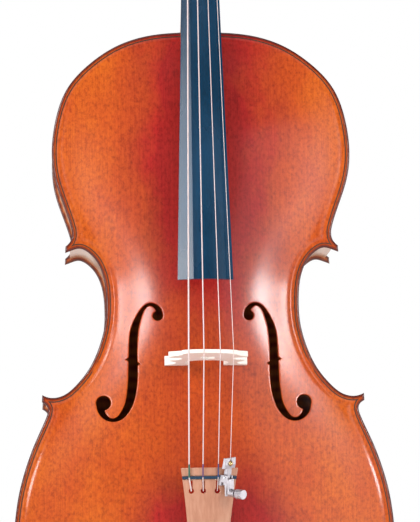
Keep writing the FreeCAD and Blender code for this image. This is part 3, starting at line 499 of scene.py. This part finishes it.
def hole_loops(loops):
    """One rim of each f-hole."""
    found = []
    for side in (-1, 1):
        own = [
            (gap, i) for i, (gap, loop) in enumerate(loops)
            if (side * loop[:, 0]).min() > 0.03
            and 0.1 < np.ptp(loop[:, 1]) < 0.2
            and np.ptp(loop[:, 0]) > 0.05
        ]
        found.append(loops[min(own)[1]][1])
    return found


CORNER_DEGREES = 28.0  # a loop that turns more than this at a point has a corner there


def resampled(loop, spacing):
    """The loop with points about spacing apart, on smooth curves between its corners."""
    before, after = np.roll(loop, 1, 0), np.roll(loop, -1, 0)
    way_in, way_out = loop - before, after - loop
    turn = np.degrees(np.abs(np.arctan2(
        way_in[:, 0] * way_out[:, 1] - way_in[:, 1] * way_out[:, 0], (way_in * way_out).sum(1))))
    is_corner = turn > CORNER_DEGREES
    result = []
    for i in range(len(loop)):
        j = (i + 1) % len(loop)
        start, end = loop[i], loop[j]
        length = np.linalg.norm(end - start)
        previous, following = loop[i - 1], loop[(j + 1) % len(loop)]
        leave = arrive = end - start
        if not is_corner[i]:
            leave = (end - previous) * length / np.linalg.norm(end - previous)
        if not is_corner[j]:
            arrive = (following - start) * length / np.linalg.norm(following - start)
        steps = max(1, int(round(length / spacing)))
        for k in range(steps):
            t = k / steps
            result.append((2 * t**3 - 3 * t**2 + 1) * start + (t**3 - 2 * t**2 + t) * leave
                          + (3 * t**2 - 2 * t**3) * end + (t**3 - t**2) * arrive)
    return thinned(np.array(result), spacing * 0.45)


def thinned(loop, least):
    """Leaves out points that lie closer than least to the one kept before them."""
    kept = [loop[0]]
    for point in loop[1:]:
        if np.linalg.norm(point - kept[-1]) >= least:
            kept.append(point)
    if np.linalg.norm(kept[-1] - kept[0]) < least:
        kept.pop()
    return np.array(kept)


def inside(points, loop):
    """Which points lie inside a closed loop."""
    x, y = points[:, 0], points[:, 1]
    odd = np.zeros(len(points), bool)
    for (x1, y1), (x2, y2) in zip(loop, np.roll(loop, -1, 0)):
        crosses = (y1 > y) != (y2 > y)
        if crosses.any():
            odd[crosses] ^= x[crosses] < (x2 - x1) * (y[crosses] - y1) / (y2 - y1) + x1
    return odd


def distances(points, loops, spacing):
    """Distance from each point to the nearest place on dense loops."""
    dense = np.concatenate([resampled(loop, spacing) for loop in loops])
    tree = kdtree.KDTree(len(dense))
    for i, (x, z) in enumerate(dense):
        tree.insert((x, z, 0), i)
    tree.balance()
    return np.array([tree.find((x, z, 0))[2] for x, z in points])


def beside(loop, distance):
    """The loop's points moved sideways, inwards when distance is positive."""
    along = np.roll(loop, -1, 0) - np.roll(loop, 1, 0)
    along /= np.linalg.norm(along, axis=1)[:, None]
    area = (loop[:, 0] * np.roll(loop[:, 1], -1) - loop[:, 1] * np.roll(loop[:, 0], -1)).sum()
    side = np.stack([-along[:, 1], along[:, 0]], 1) * math.copysign(1, area)
    return loop + side * distance


# ---------------------------------------------------------------- plates


NOTCH_HALF = 27 * MM  # the neck's and the saddle's notches, which the rounded edge runs past
EDGE_RINGS = [0.35, 0.9, 2.0, 4.0, 5.5, 7.0, 8.5, 10.0, 12.0, 14.5, 17.5]  # millimetres in from the edge
HOLE_RINGS = [0.35, 0.9, 2.0]
OUTLINE_STEP = 2.2 * MM
HOLE_STEP = 1.1 * MM
GRID_STEP = 4.2 * MM
GRID_HALF = 0.225
LEAST_GAP = 0.3 * MM
NO_HOLE = 1.0  # stands for a distance beyond any f-hole, in metres
ROUND_OVER = 2.0  # millimetres, as are the next four
CHANNEL_AT, CHANNEL_WIDTH, CHANNEL_DEPTH = 8.8, 2.8, 0.75
HOLE_EASE = 0.7
INNER_ROUND = 1.5 * MM


def plate_height(x, down, from_edge, from_hole, crown):
    """Height of a plate's outer face above its edge: rounded edge, channel, arch, eased holes."""
    near = np.clip(ROUND_OVER - from_edge, 0, ROUND_OVER)
    height = crown * rise(x, down)
    height = height - (ROUND_OVER - np.sqrt(ROUND_OVER**2 - near**2))
    height = height - CHANNEL_DEPTH * np.exp(-(((from_edge - CHANNEL_AT) / CHANNEL_WIDTH) ** 2))
    ease = np.clip(HOLE_EASE - from_hole, 0, HOLE_EASE)
    return height - (HOLE_EASE - np.sqrt(HOLE_EASE**2 - ease**2))


def inner_height(outer, from_edge):
    """Height of a plate's inner face: flat by the ribs, hollowed under the arch, rounded at the edge."""
    near = np.clip(INNER_ROUND - from_edge, 0, INNER_ROUND)
    rounded = INNER_ROUND - np.sqrt(INNER_ROUND**2 - near**2)
    return np.maximum(np.maximum(0.0, outer - PLATE), rounded)


def rim_distances(points, loop):
    return distances(points, [loop], 0.8 * MM)


def hole_distances(points, holes):
    return distances(points, holes, 0.5 * MM) if holes else np.full(len(points), NO_HOLE)


def spaced(points, *others):
    """Keeps only the first point in each small square, so that rings and grid don't crowd."""
    squares, kept = set(), []
    for i, (x, z) in enumerate(points):
        square = (round(x / LEAST_GAP), round(z / LEAST_GAP))
        if square not in squares:
            squares.add(square)
            kept.append(i)
    return (points[kept], *(other[kept] for other in others))


def plate_points(outline, rim, holes):
    """Places inside a plate, on rings and a grid, with their distances from the rim and the holes."""
    rings = [beside(rim, ring * MM) for ring in EDGE_RINGS]
    rings += [beside(hole, -ring * MM) for hole in holes for ring in HOLE_RINGS]
    columns = np.arange(-GRID_HALF, GRID_HALF + 0.0001, GRID_STEP)
    rows = np.arange(BODY_BOTTOM, BODY_TOP + 0.02, GRID_STEP)
    grid = np.array([(x + (i % 2) * GRID_STEP / 2, z) for i, z in enumerate(rows) for x in columns])
    loose = np.concatenate([*rings, grid])
    loose = loose[inside(loose, outline)]
    for hole in holes:
        loose = loose[~inside(loose, hole)]
    from_edge, from_hole = rim_distances(loose, rim), hole_distances(loose, holes)
    from_cut = rim_distances(loose, outline)
    fits = (from_edge > LEAST_GAP) & (from_hole > LEAST_GAP) & (from_cut > LEAST_GAP)
    return spaced(loose[fits], from_edge[fits], from_hole[fits])


def trimmed_mesh(outline, holes, points):
    """Triangles over the points, cut to the outline and holes, and the point that each corner came from."""
    edges, first = [], 0
    for loop in [outline, *holes]:
        count = len(loop)
        edges += [(first + i, first + (i + 1) % count) for i in range(count)]
        first += count
    verts, _, faces, origin, _, _ = delaunay_2d_cdt([Vector(p) for p in points], edges, [], 0, 1e-7)
    flat = np.array([tuple(v) for v in verts])
    source = np.array([o[0] if o else 0 for o in origin])
    faces = np.array([tuple(f) for f in faces if len(f) == 3])
    middle = flat[faces].mean(1)
    keep = inside(middle, outline)
    for hole in holes:
        keep &= ~inside(middle, hole)
    return flat, faces[keep], source


def shell_faces(faces, count):
    """Both sides of a shell and the walls between them; the second side's corners follow the first's."""
    seen = {}
    for a, b, c in faces:
        for edge in ((a, b), (b, c), (c, a)):
            key = (min(edge), max(edge))
            seen[key] = None if key in seen else edge
    walls = [(a, b, b + count, a + count) for a, b in filter(None, seen.values())]
    return [tuple(f) for f in faces] + [tuple(f + count)[::-1] for f in faces] + walls


def carved_plate(name, node, slot, front, crown, material=None):
    """A plate in fine mesh: edge rounded on both sides, a channel round it, arching, f-holes."""
    loops = wall_loops(node)
    outline = resampled(loops[outline_loop(loops)][1], OUTLINE_STEP)
    rim = outline[np.abs(outline[:, 0]) > NOTCH_HALF]
    holes = [resampled(loop, HOLE_STEP) for loop in hole_loops(loops)] if front else []
    loose, from_edge, from_hole = plate_points(outline, rim, holes)
    fixed = np.concatenate([outline, *holes])
    on_holes = np.zeros(len(fixed) - len(outline))
    from_edge = np.concatenate([rim_distances(fixed, rim), from_edge])
    from_hole = np.concatenate([hole_distances(outline, holes), on_holes, from_hole])
    flat, faces, source = trimmed_mesh(outline, holes, np.concatenate([fixed, loose]))
    from_edge, from_hole = from_edge[source], from_hole[source]
    x, down = flat[:, 0] / MM, (BODY_TOP - flat[:, 1]) / MM
    outer = EDGE + plate_height(x, down, from_edge / MM, from_hole / MM, crown) * MM
    rib, sign = (FRONT_RIB, -1) if front else (BACK_RIB, 1)
    sides = [
        np.stack([flat[:, 0], rib + sign * height, flat[:, 1]], 1)
        for height in (outer, inner_height(outer, from_edge))
    ]
    everything = shell_faces(faces, len(flat))
    used = sorted({i for face in everything for i in face})
    place = {old: new for new, old in enumerate(used)}
    faces = [[place[i] for i in face] for face in everything]
    thing = add_mesh(name, np.concatenate(sides)[used], faces, slot, smooth_angle=50, material=material)
    attribute = thing.data.attributes.new("from_edge", "FLOAT", "POINT")
    attribute.data.foreach_set("value", np.tile(from_edge / MM, 2)[used])
    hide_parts(node)


carved_plate("belly", "top_plate", "top_varnish", True, TOP_CROWN)
carved_plate("back", "back_plate", "body_varnish", False, BACK_CROWN, BACK_MAPLE)


# ---------------------------------------------------------------- rounded pieces


def baked(thing, kind, **settings):
    """Applies one modifier to a piece's mesh."""
    modifier = thing.modifiers.new(kind.lower(), kind)
    for key, value in settings.items():
        setattr(modifier, key, value)
    evaluated = thing.evaluated_get(bpy.context.evaluated_depsgraph_get())
    thing.data = bpy.data.meshes.new_from_object(evaluated)
    thing.modifiers.clear()


def softened(node, voxel, rounds, reshape=None):
    """A node's own shape with every edge broken, as hand or file leaves it; voxel is in millimetres."""
    record = frame["record"]
    slot = next(sub["material_slot"] for sub in record["subparts"] if sub["node"] == node)
    body = next(body for body, nodes in record["behaviour"]["bodies"].items() if node in nodes)
    mesh = NODES[node].data.copy()
    thing = bpy.data.objects.new(node + "_finished", mesh)
    bpy.context.collection.objects.link(thing)
    source = bmesh.new()
    source.from_mesh(mesh)
    bmesh.ops.remove_doubles(source, verts=source.verts, dist=WELD)
    source.to_mesh(mesh)
    source.free()
    baked(thing, "REMESH", mode="VOXEL", voxel_size=voxel * MM)
    if reshape:
        reshape(thing.data)
    baked(thing, "SMOOTH", iterations=rounds, factor=0.5)
    settle(thing, slot, body, 60)
    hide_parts(node)


HEAD_LEAN = math.atan(0.30)  # the head leans back from the neck
VOLUTE_TURNS = 2.25
VOLUTE_START, VOLUTE_RISE = 13.0, 7.2  # half its width where it starts, and what each turn adds
SPIRAL_END, SPIRAL_SPREAD, SPIRAL_POWER = 8.0, 25.0, 1.25
EYE_RADIUS, EYE_HALF = 6.6, 32.0
EYE_DOME = 0.06  # how fast the eye's end falls away from its middle
HOLLOW_DEPTH, HOLLOW_SHARE = 1.9, 0.9  # how deep each turn's face is, and over how much of its width
HOLLOW_FADE = 0.3  # turns over which the hollow comes in
CLIMB_FROM = 0.84  # share of the face where it begins to climb to the next turn
PEGBOX_HALF = 13.4  # the sides this far out belong to the scroll and not to the pegbox


def volute_reach(turn):
    """Radius of the scroll's spiral after some turns from the pegbox's back."""
    return SPIRAL_END + SPIRAL_SPREAD * np.clip(1 - turn / VOLUTE_TURNS, 0, 1) ** SPIRAL_POWER


def volute_half(reach, turn):
    """Half the scroll's width at a radius and turn: a hollowed face that climbs inwards, then the eye."""
    outer, inner = volute_reach(turn), volute_reach(turn + 1)
    across = np.clip((outer - reach) / np.maximum(outer - inner, 1.0), 0, 1)
    climb = smoothstep((across - CLIMB_FROM) / (1 - CLIMB_FROM))
    half = VOLUTE_START + VOLUTE_RISE * (np.minimum(turn, VOLUTE_TURNS) + climb)
    hollow = np.sin(math.pi * np.clip(across / HOLLOW_SHARE, 0, 1))
    half -= HOLLOW_DEPTH * smoothstep(turn / HOLLOW_FADE) * hollow
    half = np.minimum(half, EYE_HALF - 3)
    return np.where(reach < EYE_RADIUS + 0.5, EYE_HALF - EYE_DOME * reach**2, half)


def wound_volute(mesh):
    """Turns the stepped sides of the scroll into one hollowed ramp that winds out to the eye."""
    points = np.empty(len(mesh.vertices) * 3)
    mesh.vertices.foreach_get("co", points)
    points = points.reshape(-1, 3) / MM
    eye = points[np.abs(points[:, 0]) > EYE_HALF - 0.7].mean(0)
    forth, up = points[:, 1] - eye[1], points[:, 2] - eye[2]
    high = forth * math.sin(HEAD_LEAN) + up * math.cos(HEAD_LEAN)
    back = forth * math.cos(HEAD_LEAN) - up * math.sin(HEAD_LEAN)
    reach = np.hypot(high, back)
    first = (np.arctan2(high, back) / (2 * math.pi)) % 1.0
    turn = first.copy()
    for _ in range(2):
        turn = np.where(reach < volute_reach(turn + 1), turn + 1, turn)
    half = volute_half(reach, turn)
    moves = (np.abs(points[:, 0]) > PEGBOX_HALF) & (reach < volute_reach(first) + 0.6)
    points[moves, 0] = np.sign(points[moves, 0]) * half[moves]
    mesh.vertices.foreach_set("co", (points * MM).ravel())
    mesh.update()


softened("neck_and_scroll", 1.0, 5, wound_volute)
for soft_node, voxel, rounds in (
    ("bridge", 0.45, 3), ("tailpiece", 0.7, 3), ("nut", 0.3, 3), ("saddle", 0.4, 4),
    ("tuner_bracket", 0.22, 3), ("tuner_lever", 0.22, 4), ("clamp_screw_head", 0.3, 3),
    ("endpin_collar", 0.3, 2), ("endpin_plug", 0.35, 3), ("tuner_screw_head", 0.2, 2),
):
    softened(soft_node, voxel, rounds)

# ---------------------------------------------------------------- silk on the strings' ends


def string_path(node):
    """Middle points along a string, from its peg down: one for each group of corners in its mesh."""
    points = sorted((vert.co.copy() for vert in NODES[node].data.vertices), key=lambda p: -p.z)
    groups = [[points[0]]]
    for point in points[1:]:
        if groups[-1][-1].z - point.z > 2.5 * MM:
            groups.append([])
        groups[-1].append(point)
    return [sum(group, Vector()) / len(group) for group in groups]


def sleeve(name, start, toward, length, radius, material):
    """A closed tube on a string, a little narrower at both ends; length and radius in millimetres."""
    way = (toward - start).normalized()
    side = way.cross(Vector((0, 1, 0))).normalized()
    up = way.cross(side)
    stations = [(0.0, 0.8), (0.4, 1.0), (length - 1.5, 1.0), (length, 0.8)]
    points, faces, count = [], [], 14
    for along, swell in stations:
        for i in range(count):
            angle = 2 * math.pi * i / count
            around = side * math.cos(angle) + up * math.sin(angle)
            points.append(start + way * along * MM + around * radius * swell * MM)
    for ring in range(len(stations) - 1):
        for i in range(count):
            j = (i + 1) % count
            faces.append((ring * count + i, ring * count + j, (ring + 1) * count + j, (ring + 1) * count + i))
    faces += [tuple(range(count))[::-1], tuple(range(len(points) - count, len(points)))]
    add_mesh(name, points, faces, "gut_cord", material=material)


for string, radius, low_colour, high_colour in (
    ("c", 0.85, "green", "green"), ("g", 0.65, "purple", "purple"),
    ("d", 0.48, "blue", "blue"), ("a", 0.38, None, "red"),
):
    path = string_path("string_" + string)
    high_end = path[0] + (path[1] - path[0]) * 0.06
    sleeve("silk_at_peg_" + string, high_end, path[1], 32, radius + 0.14, SILK[high_colour])
    if low_colour:
        low_end = path[-2] + (path[-3] - path[-2]) * 0.002
        sleeve("silk_at_fret_" + string, low_end, path[-3], 16, radius + 0.2, SILK[low_colour])

# ---------------------------------------------------------------- studio


CAMERA_AIM_DOWN = 0.2723  # from the body's top edge, in metres
CAMERA_OFFSET = Vector((-0.1825, -3.69, -0.4288))  # from what it looks at
CAMERA_ROLL = -0.626  # degrees
CAMERA_LENS = 271.8  # millimetres
LIGHTS_AIM_DOWN = 0.35
# name, azimuth and elevation in degrees, distance, how far above the middle it aims, width, height, watts
LIGHTS = (
    ("right_box", 36.5, 9, 3.0, 0, 0.30, 0.66, 23),
    ("left_box", -31.5, 8, 3.0, 0, 0.28, 0.66, 15),
    ("right_haze", 27, 3, 3.0, 0, 1.3, 1.9, 8),
    ("board_box", -50, 25, 3.0, 0.2, 0.6, 0.8, 34),
    ("top_box", -8, 58, 3.0, 0, 2.4, 1.6, 18),
    ("left_panel", -100, 0, 2.2, 0, 1.4, 1.8, 15),
    ("right_panel", 100, 0, 2.2, 0, 1.4, 1.8, 15),
)


def area_light(name, place, target, width, height, power):
    light = bpy.data.lights.new(name, "AREA")
    light.shape = "RECTANGLE"
    light.size, light.size_y = width, height
    light.energy = power
    thing = bpy.data.objects.new(name, light)
    bpy.context.collection.objects.link(thing)
    thing.location = place
    thing.rotation_euler = (Vector(target) - Vector(place)).to_track_quat("-Z", "Y").to_euler()


def camera(place, target, roll, lens):
    data = bpy.data.cameras.new("camera")
    data.sensor_fit = "HORIZONTAL"
    data.sensor_width = 36.0
    data.lens = lens
    data.clip_end = 50
    thing = bpy.data.objects.new("camera", data)
    bpy.context.collection.objects.link(thing)
    aim = (Vector(target) - Vector(place)).to_track_quat("-Z", "Y").to_matrix()
    turned = aim @ Matrix.Rotation(math.radians(roll), 3, "Z")
    thing.matrix_world = Matrix.Translation(place) @ turned.to_4x4()
    bpy.context.scene.camera = thing


def white_room(strength, mirrored):
    """A white surround: brightest where it is seen directly, dimmest where it is seen in a gloss."""
    world = bpy.data.worlds.new("studio")
    world.use_nodes = True
    tree = world.node_tree
    path = tree.nodes.new("ShaderNodeLightPath")
    shine = tree.nodes["Background"]
    shine.inputs["Color"].default_value = (1.0, 1.0, 1.0, 1.0)
    level = tree.nodes.new("ShaderNodeMix")
    level.inputs[2].default_value = strength
    level.inputs[3].default_value = mirrored
    tree.links.new(path.outputs["Is Glossy Ray"], level.inputs[0])
    seen = tree.nodes.new("ShaderNodeMix")
    seen.inputs[3].default_value = 1.0
    tree.links.new(path.outputs["Is Camera Ray"], seen.inputs[0])
    tree.links.new(level.outputs[0], seen.inputs[2])
    tree.links.new(seen.outputs[0], shine.inputs["Strength"])
    bpy.context.scene.world = world


def studio():
    target = Vector((0.0092, FRONT_RIB - EDGE, BODY_TOP - CAMERA_AIM_DOWN))
    camera(target + CAMERA_OFFSET, target, CAMERA_ROLL, CAMERA_LENS)
    centre = Vector((0, -0.07, BODY_TOP - LIGHTS_AIM_DOWN))
    for name, azimuth, elevation, distance, above, width, height, power in LIGHTS:
        a, e = math.radians(azimuth), math.radians(elevation)
        way = Vector((math.sin(a) * math.cos(e), -math.cos(a) * math.cos(e), math.sin(e)))
        area_light(name, centre + distance * way, centre + Vector((0, 0, above)), width, height, power)
    white_room(0.30, 0.12)
    bpy.context.scene.view_settings.view_transform = "Standard"
    bpy.ops.mesh.primitive_plane_add(size=60, location=(0, 0, 0))
    floor = bpy.context.object
    floor.name = "floor"
    floor.data.materials.append(floor_paint())


studio()
